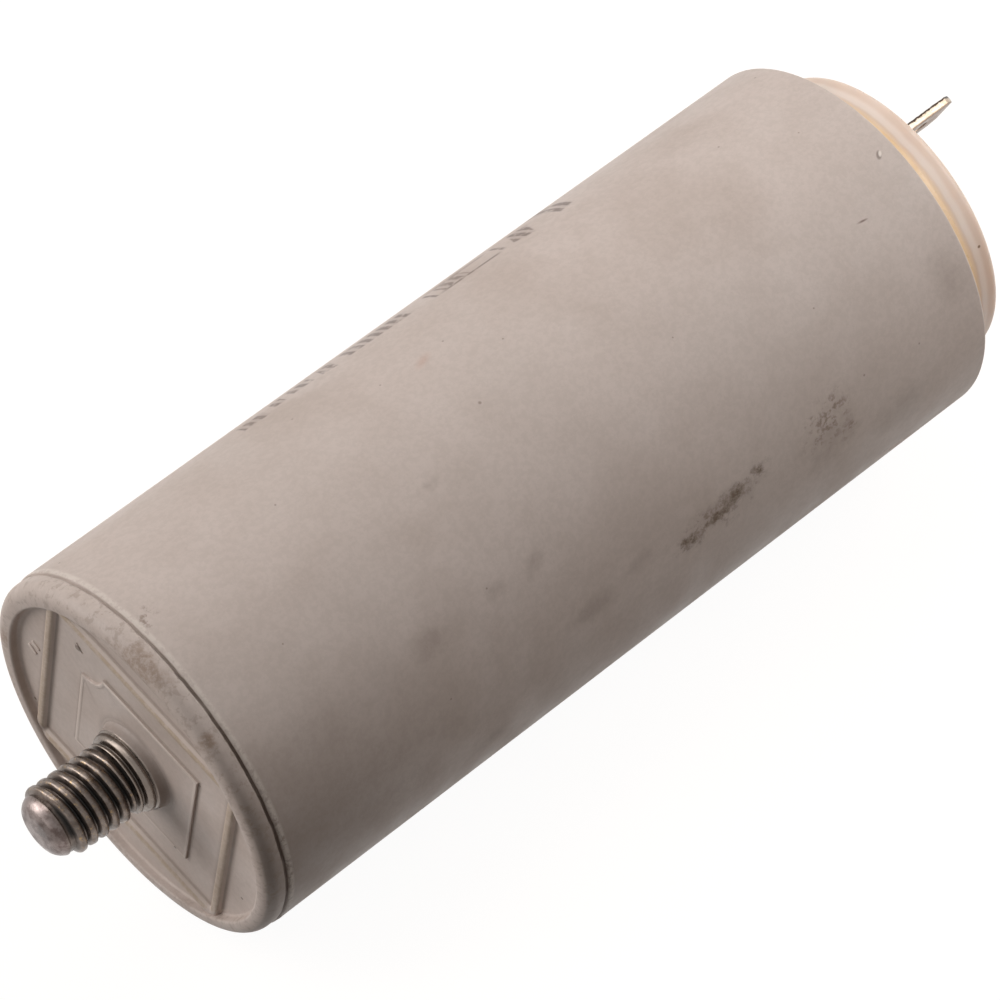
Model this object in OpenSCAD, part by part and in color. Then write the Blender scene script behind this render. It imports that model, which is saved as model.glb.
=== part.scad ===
// Motor run capacitor in a moulded plastic case, lying on its side.
// The axis runs along +X, from the stud end to the terminal end.
// The origin is on the axis, in the plane of the bead that seats on the panel.
// Every piece is drawn standing on the seat plane and is laid down at the end.

/* [Case] */
// Outside diameter of the case
case_d = 40; // [36:0.5:56]
// Length from the seat on the bead to the open mouth
case_len = 94.7; // [80:0.1:140]
// Thickness of the side wall
case_wall = 1.6; // [1.3:0.1:2.2]
// Thickness of the floor at the stud end
floor_t = 2.4; // [2:0.1:4]
// Radius on the outer edge of the open mouth
mouth_edge_r = 0.35; // [0.1:0.05:0.35]

/* [Stud end] */
// Height of the bead round the stud end, up to the parting groove
bead_h = 2.5; // [2:0.1:4]
// Mean radial width of the bead, from the outside of the case to the recess
bead_w = 2.25; // [2.25:0.05:4]
// Radius on the outer edge of the bead
bead_edge_r = 1.4; // [0.8:0.1:1.6]
// Radius on the inner edge of the bead
bead_inner_r = 0.25; // [0.05:0.05:0.25]
// Distance of the recess from the axis, as its mould insert sat
recess_shift = 0.25; // [0:0.05:0.3]
// Width of the parting groove
groove_w = 0.3; // [0.2:0.05:0.5]
// Depth of the parting groove
groove_depth = 0.25; // [0.1:0.05:0.5]
// Depth of the round recess inside the bead
recess_depth = 0.95; // [0.8:0.05:1.6]
// Width of the ribs that make a square in the recess and run into the bead at its corners
rib_w = 1.1; // [0.6:0.1:1.4]
// Height of the ribs above the floor of the recess
rib_h = 0.6; // [0.2:0.05:0.7]
// Distance of each rib's crest from the axis
rib_reach = 12.9; // [12.5:0.1:13]
// Turn of the ribs about the axis, in degrees
rib_turn = 10; // [0:1:45]
// Side of the raised plate inside the ribs
plate_side = 16.4; // [14:0.1:19]
// Height of the raised plate
plate_h = 0.25; // [0.1:0.05:0.4]
// Radius of the notch in the plate's corner
notch_r = 2.8; // [1:0.1:4]
// Length of the two short strokes outside the ribs
stroke_len = 1.4; // [1:0.1:2]
// Width of each stroke
stroke_w = 0.35; // [0.2:0.05:0.5]
// Spacing of the strokes
stroke_pitch = 1.2; // [0.8:0.05:1.5]
// Distance of the strokes' middle from the middle of the rib beside them
stroke_rise = 0.3; // [-0.5:0.1:0.5]
// Slant of the strokes, in degrees
stroke_turn = 20; // [0:1:30]
// Radius of the small triangle beside the plate's notched corner
triangle_r = 0.55; // [0.3:0.05:0.8]
// Distance of the triangle from the plate's sides
triangle_gap = 1; // [0.8:0.1:1.2]
// Height of the strokes and of the small triangle
mark_h = 0.12; // [0.05:0.01:0.2]

/* [Mounting stud] */
// Diameter of the thread, drawn plain
stud_d = 8; // [6:1:8]
// Reach of the stud beyond the seat
stud_reach = 11.2; // [8:0.1:20]
// Chamfer at the stud's tip
stud_chamfer = 1.1; // [0.5:0.1:1.5]
// Height of the domed point in front of the chamfer
stud_dome_h = 0.5; // [0.2:0.1:1]
// Diameter of the turned collar at the stud's root
collar_d = 9; // [8.6:0.1:10]
// Depth of the collar's end below the seat
collar_sink = 0.1; // [0.05:0.05:0.3]
// Width across the flats of the head inside the floor
head_af = 13; // [11:0.5:14]
// Thickness of the head
head_t = 4; // [3:0.5:6]
// Clearance of the collar in the floor
collar_gap = 0.1; // [0.05:0.05:0.2]
// Clearance round the head in its pocket
head_gap = 0.1; // [0.05:0.05:0.3]
// Thickness of the boss round the head, at its corners
boss_wall = 2; // [1.2:0.1:3]

/* [Lid] */
// Radial step from the case's outside to the lid's raised disc
lid_step = 3.6; // [3:0.1:4.5]
// Height of the lid above the mouth of the case
lid_h = 5.3; // [4:0.1:8]
// Thickness of the lid's top and wall
lid_t = 2.2; // [1.6:0.1:3]
// Radius on the lid's upper edge
lid_edge_r = 0.9; // [0.3:0.1:1.4]
// Depth of the ledge below the mouth, on which the lid's flange rests
ledge_depth = 2.6; // [2.2:0.1:4]
// Width of that ledge
ledge_w = 0.8; // [0.75:0.05:0.9]
// Thickness of the flange
flange_t = 1.6; // [1.2:0.1:2]
// Clearance round the flange
flange_gap = 0.45; // [0.4:0.05:0.5]
// Distance of the lid, with all that hangs from it, off the axis, as it was glued in
lid_shift = 0.35; // [0:0.05:0.35]
// Direction of that shift about the axis, in degrees
lid_shift_turn = 209; // [0:1:359]
// Height that the sealing resin climbs up the lid, above the mouth
seal_rise = 2.4; // [1:0.1:3]
// Depth of the sealing resin's outer edge below the mouth
seal_dip = 0.3; // [0.1:0.05:0.5]

/* [Terminals] */
// Distance of each rivet from the axis
pole_r = 9.3; // [8.5:0.1:10]
// Direction of the first rivet about the axis, in degrees
pole_turn = 113; // [0:1:180]
// Direction that the tabs face about the axis, in degrees
tab_turn = 24; // [0:1:45]
// Width of the tab
tab_w = 6.3; // [4.8:0.1:6.3]
// Thickness of the tab's sheet
tab_t = 0.8; // [0.5:0.05:0.8]
// Height of the tab above the lid
tab_h = 7.9; // [7:0.1:12]
// Distance from the rivet to the middle of the blade
tab_reach = 4.2; // [3.8:0.1:4.5]
// Inside radius of the tab's bend
tab_bend_r = 0.5; // [0.3:0.05:0.6]
// Chamfer on the corners of the blade's tip
tab_chamfer = 1.2; // [0.5:0.1:1.6]
// Diameter of the detent hole in the blade
tab_hole_d = 1.7; // [1.2:0.1:2]
// Distance of that hole from the tip
tab_hole_drop = 3.6; // [2.5:0.1:4.2]
// Diameter of the rivet's shank
rivet_d = 3; // [2.4:0.1:3.4]
// Diameter of the rivet's head and of its clinched tail
rivet_head_d = 5; // [4.2:0.1:5.2]
// Height of the rivet's head
rivet_head_h = 0.7; // [0.4:0.1:1]
// Height of the rivet's clinched tail
rivet_tail_h = 0.5; // [0.3:0.1:0.8]
// Thickness of the solder tag under the lid
tag_t = 0.6; // [0.4:0.05:0.8]
// Width of the solder tag
tag_w = 5.4; // [5.2:0.1:6]
// Distance from the rivet to the wire's hole in the tag
tag_reach = 4.2; // [3.8:0.1:4.5]

/* [Winding] */
// Gap between the wrapped winding and the case, which the resin fills
side_gap = 1; // [0.6:0.1:2]
// Thickness of the wrap round the winding
wrap_t = 0.4; // [0.2:0.1:1]
// Outside diameter of the winding's core
core_d = 8; // [7:0.5:10]
// Wall of the core
core_wall = 1.4; // [0.8:0.1:1.6]
// Thickness of the sprayed metal on each end
spray_t = 0.6; // [0.4:0.1:1]
// Thickness of the disc under the winding
disc_t = 1; // [0.6:0.1:2]
// Gap round that disc, which lets the resin past
disc_gap = 0.8; // [0.4:0.1:1.5]
// Room under the winding for the lower lead
low_room = 2.6; // [2.4:0.1:5]
// Room between the top of the winding and the top of the resin
resin_cover = 4; // [3:0.5:6]
// Room between the top of the resin and the lid's ledge
resin_drop = 1.6; // [0.5:0.1:4]

/* [Leads] */
// Diameter of the wire
wire_d = 1; // [0.8:0.1:1.2]
// Outside diameter of the insulating sleeve
sleeve_d = 2; // [1.8:0.1:2.2]
// Radius of the wire's bends, at its middle
wire_bend_r = 1.8; // [1.6:0.1:1.9]
// Length of wire that stays bare below each tag and beside the lower joint
bare_len = 2; // [1:0.5:4]
// Distance of the solder joints from the axis
joint_r = 10.5; // [10:0.5:12]
// Radius of the solder joints on the winding
joint_w = 2.2; // [1.6:0.1:2.6]
// Height of the solder joints
joint_h = 1.9; // [1.8:0.1:2.2]

/* [Hidden] */
$fn = 96;
wire_faces = 32; // facets round a wire, a sleeve or its bend
cut = 1; // how far a cutting shape runs past the face that it opens
seam = 0.02; // overlap of the joined parts of one piece

// Radii
case_r = case_d / 2;
inner_r = case_r - case_wall;
recess_r = case_r - bead_w;
bead_r = case_r - groove_depth / 2;
mouth_r = inner_r + ledge_w;
flange_r = mouth_r - flange_gap;
lid_r = case_r - lid_step;
lid_hollow_r = lid_r - lid_t;
wrap_r = inner_r - side_gap;
film_r = wrap_r - wrap_t;
core_r = core_d / 2;
bore_r = core_r - core_wall;
stud_r = stud_d / 2;
collar_r = collar_d / 2;
head_corner_r = head_af / 2 / cos(30);
boss_r = head_corner_r + head_gap + boss_wall;
stroke_r = (rib_reach + recess_r) / 2 - recess_shift;
triangle_place = plate_side / 2 + triangle_gap;
tag_x = pole_r - tag_reach;

// Heights above the seat
floor_z = recess_depth;
inside_z = floor_z + floor_t;
boss_z = inside_z + head_t;
disc_z = boss_z + disc_t;
winding_z = disc_z + low_room;
ledge_z = case_len - ledge_depth;
resin_z = ledge_z - resin_drop;
winding_top = resin_z - resin_cover;
film_z = winding_z + spray_t;
film_top = winding_top - spray_t;
flange_top = ledge_z + flange_t;
lid_top = case_len + lid_h;
lid_ceiling = lid_top - lid_t;
tag_z = lid_ceiling - tag_t;
run_top = winding_top + sleeve_d / 2;
run_low = winding_z - sleeve_d / 2;
sleeve_top = tag_z - bare_len;
sleeve_end = joint_r - joint_w - bare_len;

// Colours
case_grey = [0.68, 0.64, 0.60];
lid_cream = [0.86, 0.76, 0.68];
seal_amber = [0.86, 0.70, 0.48];
steel = [0.62, 0.60, 0.58];
tinned = [0.80, 0.78, 0.74];
copper_tin = [0.78, 0.62, 0.50];
film_white = [0.90, 0.91, 0.92];
zinc_grey = [0.58, 0.60, 0.62];
core_black = [0.15, 0.15, 0.16];
wrap_yellow = [0.88, 0.80, 0.45];
board_brown = [0.62, 0.47, 0.32];
sleeve_white = [0.92, 0.90, 0.85];
resin_amber = [0.70, 0.52, 0.30];

// Turns a piece that stands on the seat plane so that its axis lies along +X.
module lay_down() {
    rotate([90, 0, 90]) children();
}

// The lid, the terminals and the winding hang together, a little off the case's axis.
module hung() {
    rotate([0, 0, lid_shift_turn]) translate([lid_shift, 0, 0]) rotate([0, 0, -lid_shift_turn]) children();
}

// What belongs to the second pole faces the first across the winding's axis.
module pole(second) {
    hung() rotate([0, 0, pole_turn + (second ? 180 : 0)]) children();
}

// What a rounded corner of radius r takes off a square corner at the origin,
// where the solid lies at negative x and negative y.
module corner_waste(r) {
    difference() {
        translate([-r, -r]) square(r + cut);
        translate([-r, -r]) circle(r);
    }
}

// Half section of the recess that is cut into the stud end, flared by the bead's inner edge.
module recess_section() {
    translate([0, -cut]) square([recess_r, recess_depth + cut]);
    translate([recess_r, 0]) rotate(180) corner_waste(bead_inner_r);
}

// Half section of the cup, with the bead at the bottom.
module cup_section() {
    difference() {
        square([case_r, case_len]);
        // step and round outer edge of the bead
        translate([bead_r, -cut]) square([cut, bead_h + cut]);
        translate([bead_r, 0]) mirror([0, 1]) corner_waste(bead_edge_r);
        // parting groove
        translate([case_r - groove_depth, bead_h - groove_w]) square([cut, groove_w]);
        // inside, the ledge for the lid and the edge of the mouth
        translate([-cut, inside_z]) square([inner_r + cut, case_len]);
        translate([-cut, ledge_z]) square([mouth_r + cut, case_len]);
        translate([case_r, case_len]) corner_waste(mouth_edge_r);
    }
}

// Section of a rib: a low round crown of the rib's width and height, with its foot in the floor.
module rib_section() {
    crown_r = (rib_w * rib_w / 4 + rib_h * rib_h) / (2 * rib_h);
    intersection() {
        translate([0, rib_h - crown_r]) circle(crown_r);
        translate([-rib_w, -seam]) square([2 * rib_w, rib_h + 2 * seam]);
    }
}

// Ribs that stand out of the recess in a square. Their ends lie in the bead.
module rib_square() {
    half_len = rib_reach + rib_w / 4;
    for (side = [0 : 90 : 270])
        rotate([0, 0, side]) translate([rib_reach, -half_len, floor_z])
            rotate([-90, 0, 0]) linear_extrude(2 * half_len) rib_section();
}

// Raised plate round the stud, with one corner cut away by an arc.
module notched_plate() {
    translate([0, 0, floor_z - plate_h]) linear_extrude(plate_h + seam) difference() {
        square(plate_side, center = true);
        translate([plate_side / 2, plate_side / 2]) circle(notch_r);
    }
}

// Two short strokes outside the ribs and a small triangle beside the notched corner.
module mould_marks() {
    translate([0, 0, floor_z - mark_h]) linear_extrude(mark_h + seam) {
        translate([stroke_r, stroke_rise]) rotate(stroke_turn)
            for (side = [-1, 1])
                translate([0, side * stroke_pitch / 2]) square([stroke_len, stroke_w], center = true);
        translate([triangle_place, triangle_place]) circle(r = triangle_r, $fn = 3);
    }
}

// Moulded cup: side wall, bead, floor, and the boss that holds the stud's head.
module case() {
    color(case_grey) lay_down() difference() {
        union() {
            difference() {
                rotate_extrude() cup_section();
                rotate([0, 0, rib_turn]) translate([-recess_shift, 0, 0]) rotate_extrude() recess_section();
            }
            rotate([0, 0, rib_turn]) {
                rib_square();
                notched_plate();
                mould_marks();
            }
            translate([0, 0, inside_z - seam]) cylinder(r = boss_r, h = head_t + seam);
        }
        translate([0, 0, -cut]) cylinder(r = collar_r + collar_gap, h = inside_z + 2 * cut);
        translate([0, 0, inside_z]) cylinder(r = head_corner_r + head_gap, h = head_t + cut, $fn = 6);
    }
}

// Half section of the stud below its head: collar, plain shank and domed point.
module stud_section() {
    tip_z = -stud_reach;
    point_r = stud_r - stud_chamfer;
    dome_r = (point_r * point_r + stud_dome_h * stud_dome_h) / (2 * stud_dome_h);
    translate([0, collar_sink]) square([collar_r, inside_z - collar_sink + seam]);
    polygon([
        [0, inside_z], [stud_r, inside_z], [stud_r, tip_z + stud_dome_h + stud_chamfer],
        [point_r, tip_z + stud_dome_h], [0, tip_z + stud_dome_h]
    ]);
    intersection() {
        translate([0, tip_z + dome_r]) circle(dome_r);
        translate([0, tip_z]) square([point_r, stud_dome_h + seam]);
    }
}

// Steel stud with its collar and its hexagon head. The thread is left plain.
module mounting_stud() {
    color(steel) lay_down() {
        rotate_extrude() stud_section();
        translate([0, 0, inside_z]) cylinder(r = head_corner_r, h = head_t, $fn = 6);
    }
}

// Moulded lid: a flange on the ledge and a hollow raised disc, with a hole for each rivet.
module lid() {
    color(lid_cream) lay_down() difference() {
        hung() rotate_extrude() difference() {
            union() {
                translate([0, ledge_z]) square([flange_r, flange_t]);
                translate([0, ledge_z]) square([lid_r, lid_top - ledge_z]);
            }
            translate([lid_r, lid_top]) corner_waste(lid_edge_r);
            translate([-cut, ledge_z - cut]) square([lid_hollow_r + cut, lid_ceiling - ledge_z + cut]);
        }
        for (second = [false, true])
            pole(second) translate([pole_r, 0, lid_ceiling - cut]) cylinder(d = rivet_d, h = lid_t + 2 * cut);
    }
}

// Sealing resin between the mouth and the lid, which it climbs in a hollow curve.
module mouth_seal() {
    seal_top = case_len + seal_rise;
    seal_low = case_len - seal_dip;
    steps = 8;
    color(seal_amber) lay_down() intersection() {
        hung() rotate_extrude() polygon(concat(
            [[lid_r, flange_top], [flange_r, flange_top], [flange_r, ledge_z], [mouth_r + cut, ledge_z]],
            [[mouth_r + cut, seal_low]],
            [for (i = [0 : steps]) let (t = 90 * i / steps) [
                flange_r - (flange_r - lid_r) * sin(t),
                seal_top - (seal_top - seal_low) * cos(t)
            ]]
        ));
        translate([0, 0, ledge_z - cut]) cylinder(r = mouth_r, h = seal_top - ledge_z + 2 * cut);
    }
}

// Half section of a rivet: domed head above the tab's foot, shank and clinched tail below the tag.
module rivet_section() {
    head_r = rivet_head_d / 2;
    head_z = lid_top + tab_t;
    dome_r = (head_r * head_r + rivet_head_h * rivet_head_h) / (2 * rivet_head_h);
    translate([0, tag_z]) square([rivet_d / 2, head_z - tag_z + seam]);
    translate([0, tag_z - rivet_tail_h]) square([head_r, rivet_tail_h]);
    intersection() {
        translate([0, head_z + rivet_head_h - dome_r]) circle(dome_r);
        translate([0, head_z]) square([head_r, rivet_head_h]);
    }
}

module rivet(second) {
    color(tinned) lay_down() pole(second) translate([pole_r, 0, 0]) rotate_extrude() rivet_section();
}

// Push-on tab folded from sheet: a riveted foot, a bend and a chamfered blade with a detent hole.
module tab(second) {
    blade_x = tab_reach + tab_t / 2;
    bend_r = tab_bend_r + tab_t;
    foot_len = blade_x - bend_r;
    color(tinned) lay_down() pole(second)
        translate([pole_r, 0, lid_top]) rotate([0, 0, tab_turn - pole_turn]) difference() {
            union() {
                cylinder(d = tab_w, h = tab_t);
                translate([0, -tab_w / 2, 0]) cube([foot_len, tab_w, tab_t]);
                translate([foot_len, tab_w / 2, bend_r]) rotate([90, 0, 0]) intersection() {
                    difference() {
                        cylinder(r = bend_r, h = tab_w);
                        translate([0, 0, -cut]) cylinder(r = tab_bend_r, h = tab_w + 2 * cut);
                    }
                    translate([0, -bend_r, 0]) cube([bend_r, bend_r, tab_w]);
                }
                translate([blade_x, 0, 0]) rotate([0, -90, 0]) linear_extrude(tab_t) polygon([
                    [bend_r, -tab_w / 2], [tab_h - tab_chamfer, -tab_w / 2], [tab_h, tab_chamfer - tab_w / 2],
                    [tab_h, tab_w / 2 - tab_chamfer], [tab_h - tab_chamfer, tab_w / 2], [bend_r, tab_w / 2]
                ]);
            }
            translate([0, 0, -cut]) cylinder(d = rivet_d, h = tab_t + 2 * cut);
            translate([blade_x - tab_t - cut, 0, tab_h - tab_hole_drop])
                rotate([0, 90, 0]) cylinder(d = tab_hole_d, h = tab_t + 2 * cut);
        }
}

// Solder tag clinched under the lid. It points at the axis and the wire comes up through its hole.
module solder_tag(second) {
    color(tinned) lay_down() pole(second) translate([0, 0, tag_z]) linear_extrude(tag_t) difference() {
        union() {
            translate([pole_r, 0]) circle(d = tag_w);
            translate([pole_r - tag_reach, 0]) circle(d = tag_w / 2);
            translate([pole_r - tag_reach, -tag_w / 4]) square([tag_reach, tag_w / 2]);
        }
        translate([pole_r, 0]) circle(d = rivet_d);
        translate([pole_r - tag_reach, 0]) circle(d = wire_d);
    }
}

// Quarter bend of a round wire or sleeve. It joins the two lines that meet at the origin,
// one coming down from above and one leaving along +x.
module quarter_bend(d) {
    translate([wire_bend_r, 0, wire_bend_r]) rotate([90, 0, 0]) rotate([0, 0, 180])
        rotate_extrude(angle = 90) translate([wire_bend_r, 0]) circle(d = d, $fn = wire_faces);
}

// Upright and level stretches of wire or sleeve.
module upright(d, z0, z1) {
    translate([0, 0, z0]) cylinder(d = d, h = z1 - z0, $fn = wire_faces);
}

module level(d, x0, x1) {
    translate([x0, 0, 0]) rotate([0, 90, 0]) cylinder(d = d, h = x1 - x0, $fn = wire_faces);
}

// Short route, drawn in its pole's plane: from the tag down to the top of the winding and outwards.
module short_drop(d, top) {
    translate([tag_x, 0, 0]) upright(d, run_top + wire_bend_r, top);
}

module short_run(d) {
    translate([tag_x, 0, run_top]) quarter_bend(d);
    translate([0, 0, run_top]) level(d, tag_x + wire_bend_r, joint_r);
}

// Long route, in the other pole's plane: down, in to the axis, down the core and out below it.
module long_route(d, top, end) {
    translate([tag_x, 0, 0]) upright(d, run_top + wire_bend_r, top);
    translate([tag_x, 0, run_top]) mirror([1, 0, 0]) quarter_bend(d);
    translate([0, 0, run_top]) level(d, wire_bend_r, tag_x - wire_bend_r);
    translate([0, 0, run_top]) mirror([0, 0, 1]) quarter_bend(d);
    upright(d, run_low + wire_bend_r, run_top - wire_bend_r);
    translate([0, 0, run_low]) quarter_bend(d);
    translate([0, 0, run_low]) level(d, wire_bend_r, end);
}

// Tinned copper wires.
module lead_a() {
    color(copper_tin) lay_down() pole(false) {
        short_drop(wire_d, lid_ceiling);
        short_run(wire_d);
    }
}

module lead_b() {
    color(copper_tin) lay_down() pole(true) long_route(wire_d, lid_ceiling, joint_r);
}

// Insulating sleeves. Each fits its wire all the way.
module sleeve_a() {
    color(sleeve_white) lay_down() pole(false) difference() {
        short_drop(sleeve_d, sleeve_top);
        short_drop(wire_d, sleeve_top + cut);
        translate([tag_x, 0, 0]) upright(wire_d, run_top, run_top + 2 * wire_bend_r);
    }
}

module sleeve_b() {
    color(sleeve_white) lay_down() pole(true) difference() {
        long_route(sleeve_d, sleeve_top, sleeve_end);
        long_route(wire_d, sleeve_top + cut, sleeve_end + cut);
    }
}

// Cap of solder on a sprayed end, standing on the plane z = 0 at the joint's place.
module solder_cap() {
    cap_r = (joint_w * joint_w + joint_h * joint_h) / (2 * joint_h);
    translate([joint_r, 0, 0]) rotate_extrude() intersection() {
        translate([0, joint_h - cap_r]) circle(cap_r);
        square([joint_w, joint_h]);
    }
}

module solder_joint_a() {
    color(zinc_grey) lay_down() pole(false) difference() {
        translate([0, 0, winding_top]) solder_cap();
        short_run(wire_d);
    }
}

module solder_joint_b() {
    color(zinc_grey) lay_down() pole(true) difference() {
        translate([0, 0, winding_z]) mirror([0, 0, 1]) solder_cap();
        translate([0, 0, run_low]) level(wire_d, wire_bend_r, joint_r);
    }
}

// Ring between two radii and two heights.
module ring(r0, r1, z0, z1) {
    translate([0, 0, z0]) difference() {
        cylinder(r = r1, h = z1 - z0);
        translate([0, 0, -cut]) cylinder(r = r0, h = z1 - z0 + 2 * cut);
    }
}

// Metal sprayed on the ends of the roll, which joins all its turns.
module end_spray_top() {
    color(zinc_grey) lay_down() hung() ring(core_r, film_r, film_top, winding_top);
}

module end_spray_bottom() {
    color(zinc_grey) lay_down() hung() ring(core_r, film_r, winding_z, film_z);
}

// Roll of metallised film, all its turns in one solid.
module film_winding() {
    color(film_white) lay_down() hung() ring(core_r, film_r, film_z, film_top);
}

module winding_core() {
    color(core_black) lay_down() hung() ring(bore_r, core_r, winding_z, winding_top);
}

module winding_wrap() {
    color(wrap_yellow) lay_down() hung() ring(film_r, wrap_r, winding_z, winding_top);
}

// Disc that rests on the boss and keeps the lower lead away from the stud's head.
module base_insulator() {
    color(board_brown) lay_down() translate([0, 0, boss_z]) cylinder(r = inner_r - disc_gap, h = disc_t);
}

// Cast resin: the inside of the cup up to its level, less everything that it surrounds.
module potting_resin() {
    color(resin_amber) lay_down() difference() {
        translate([0, 0, inside_z]) cylinder(r = inner_r, h = resin_z - inside_z);
        translate([0, 0, inside_z - cut]) cylinder(r = boss_r, h = head_t + cut);
        translate([0, 0, boss_z]) cylinder(r = inner_r - disc_gap, h = disc_t);
        hung() translate([0, 0, winding_z]) cylinder(r = wrap_r, h = winding_top - winding_z);
        pole(false) {
            short_drop(sleeve_d, sleeve_top);
            short_run(wire_d);
            translate([0, 0, winding_top]) solder_cap();
        }
        pole(true) {
            long_route(sleeve_d, sleeve_top, sleeve_end);
            translate([0, 0, run_low]) level(wire_d, wire_bend_r, joint_r);
            translate([0, 0, winding_z]) mirror([0, 0, 1]) solder_cap();
        }
    }
}

case();
mounting_stud();
lid();
mouth_seal();
tab(false);  // tab_a
tab(true);  // tab_b
rivet(false);  // rivet_a
rivet(true);  // rivet_b
solder_tag(false);  // solder_tag_a
solder_tag(true);  // solder_tag_b
lead_a();
lead_b();
sleeve_a();
sleeve_b();
solder_joint_a();
solder_joint_b();
end_spray_top();
end_spray_bottom();
film_winding();
winding_core();
winding_wrap();
base_insulator();
potting_resin();
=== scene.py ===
"""Motor run capacitor in a moulded plastic case, lying on its side on a pale floor.

Pieces are shaped standing on the seat plane, in millimetres, and are laid down into the frame at the end.
Finishes read the place on the object in metres: the case's axis runs along +X, from the seat to the lid.
"""

import math

import bmesh
import bpy
from mathutils import Matrix, Vector, noise


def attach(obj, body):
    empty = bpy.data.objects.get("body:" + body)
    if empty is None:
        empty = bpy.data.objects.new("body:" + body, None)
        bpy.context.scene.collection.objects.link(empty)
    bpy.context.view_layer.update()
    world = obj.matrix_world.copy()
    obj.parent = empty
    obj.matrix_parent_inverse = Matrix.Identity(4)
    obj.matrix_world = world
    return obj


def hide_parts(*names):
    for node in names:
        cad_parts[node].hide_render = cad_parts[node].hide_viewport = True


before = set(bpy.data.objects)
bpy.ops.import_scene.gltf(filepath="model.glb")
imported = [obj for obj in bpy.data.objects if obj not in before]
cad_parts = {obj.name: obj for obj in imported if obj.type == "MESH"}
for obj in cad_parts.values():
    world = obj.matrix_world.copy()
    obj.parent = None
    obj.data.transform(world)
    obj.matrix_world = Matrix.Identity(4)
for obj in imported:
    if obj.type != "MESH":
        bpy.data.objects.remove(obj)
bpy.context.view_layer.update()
scene = bpy.context.scene

# Lays a standing piece down and turns its millimetres into metres
LAY = Matrix(((0, 0, 0.001, 0), (0.001, 0, 0, 0), (0, 0.001, 0, 0), (0, 0, 0, 1)))

# Case
CASE_R = 20.0
CASE_LEN = 94.7
MOUTH_R = 19.2
INNER_R = 18.4
RECESS_FLOOR = 0.95
INSIDE_FLOOR = 3.35
RECESS_SHIFT = 0.25
COLLAR_HOLE_R = 4.6
RIB_TURN = math.radians(10)
RIB_REACH = 12.9
RIB_H = 0.6
PLATE_HALF = 8.2
NOTCH_R = 2.8

# Stud, which leans a little from LEAN_FOOT down and stands off the case's axis
LEAN = math.tan(math.radians(1.9))
LEAN_Y, LEAN_Z = 0.877, 0.480
LEAN_WAY = Vector((LEAN_Y, LEAN_Z, 0))
LEAN_FOOT = 0.4
STUD_SHIFT = LEAN_WAY * -0.39
SHANK_R = 3.0
CREST_R = 3.9
THREAD_PITCH = 1.265
THREAD_TURNS = 6.2
THREAD_START = -9.75
HEAD_R = 7.506
HEAD_H = 4.0
HEAD_GAP = 0.1
BOSS_WALL = 2.0

# Lid and tabs, with the turns of the poles and of the tabs in degrees
LID_TOP = 100.0
LID_SHIFT = 0.35
LID_SHIFT_TURN = math.radians(209)
POLE_R = 9.3
POLE_TURN = 113
TAB_TURN = 24
DETENT_R = 0.85
DETENT_DROP = 3.6

# Middle of the object, in metres
MIDDLE = Vector((0.05, 0, 0))


# Shaping


def section(corners, closed=False):
    """Outline in the plane y = 0 from corners (radius, height, rounding, facets)."""
    bm = bmesh.new()
    verts = [bm.verts.new((corner[0], 0, corner[1])) for corner in corners]
    for pair in zip(verts, verts[1:]):
        bm.edges.new(pair)
    if closed:
        bm.edges.new((verts[-1], verts[0]))
    for vert, corner in zip(verts, corners):
        if len(corner) > 2:
            bmesh.ops.bevel(
                bm, geom=[vert], offset=corner[2], offset_type="OFFSET", segments=corner[3],
                profile=0.5, affect="VERTICES", material=-1,
            )
    return bm


def spun(bm, steps, turn=360.0, climb=0.0):
    """Turns everything in bm about the axis, closing a full turn."""
    bmesh.ops.spin(
        bm, geom=bm.verts[:] + bm.edges[:], cent=(0, 0, 0), axis=(0, 0, 1), dvec=(0, 0, climb),
        angle=math.radians(turn), steps=steps, use_merge=(climb == 0 and turn == 360.0), use_duplicate=False,
    )
    bmesh.ops.remove_doubles(bm, verts=bm.verts[:], dist=0.0005)
    return bm


def swept(bm, geom, centre, axis, angle, steps, shift=(0, 0, 0)):
    """Turns part of bm about a centre, and gives the part's far end."""
    made = bmesh.ops.spin(
        bm, geom=geom, cent=centre, axis=axis, dvec=shift,
        angle=math.radians(angle), steps=steps, use_merge=False, use_duplicate=False,
    )
    return made["geom_last"]


def turned(bm, angle):
    """Turns bm about the case's axis."""
    bmesh.ops.rotate(bm, cent=(0, 0, 0), matrix=Matrix.Rotation(angle, 3, "Z"), verts=bm.verts[:])
    return bm


def moved(bm, *offset):
    """Moves bm by the offset."""
    bmesh.ops.translate(bm, vec=offset, verts=bm.verts[:])
    return bm


def filled(bm, normal):
    """Fills the outlines in bm, with the inner ones left open as holes."""
    bmesh.ops.triangle_fill(bm, use_beauty=True, use_dissolve=False, edges=bm.edges[:], normal=normal)
    return bm


def thickened(bm, *offset):
    """Draws the faces of bm out by the offset."""
    made = bmesh.ops.extrude_face_region(bm, geom=bm.faces[:])
    verts = [part for part in made["geom"] if isinstance(part, bmesh.types.BMVert)]
    bmesh.ops.translate(bm, vec=offset, verts=verts)
    return bm


def join(main, *parts):
    """Adds the shells of the other parts to main."""
    for part in parts:
        mesh = bpy.data.meshes.new("part")
        part.to_mesh(mesh)
        part.free()
        main.from_mesh(mesh)
        bpy.data.meshes.remove(mesh)
    return main


def edge_bevel(bm, edges, width, facets):
    """Rounds the edges."""
    bmesh.ops.bevel(
        bm, geom=edges, offset=width, offset_type="OFFSET", segments=facets,
        profile=0.5, affect="EDGES", material=-1,
    )


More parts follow.
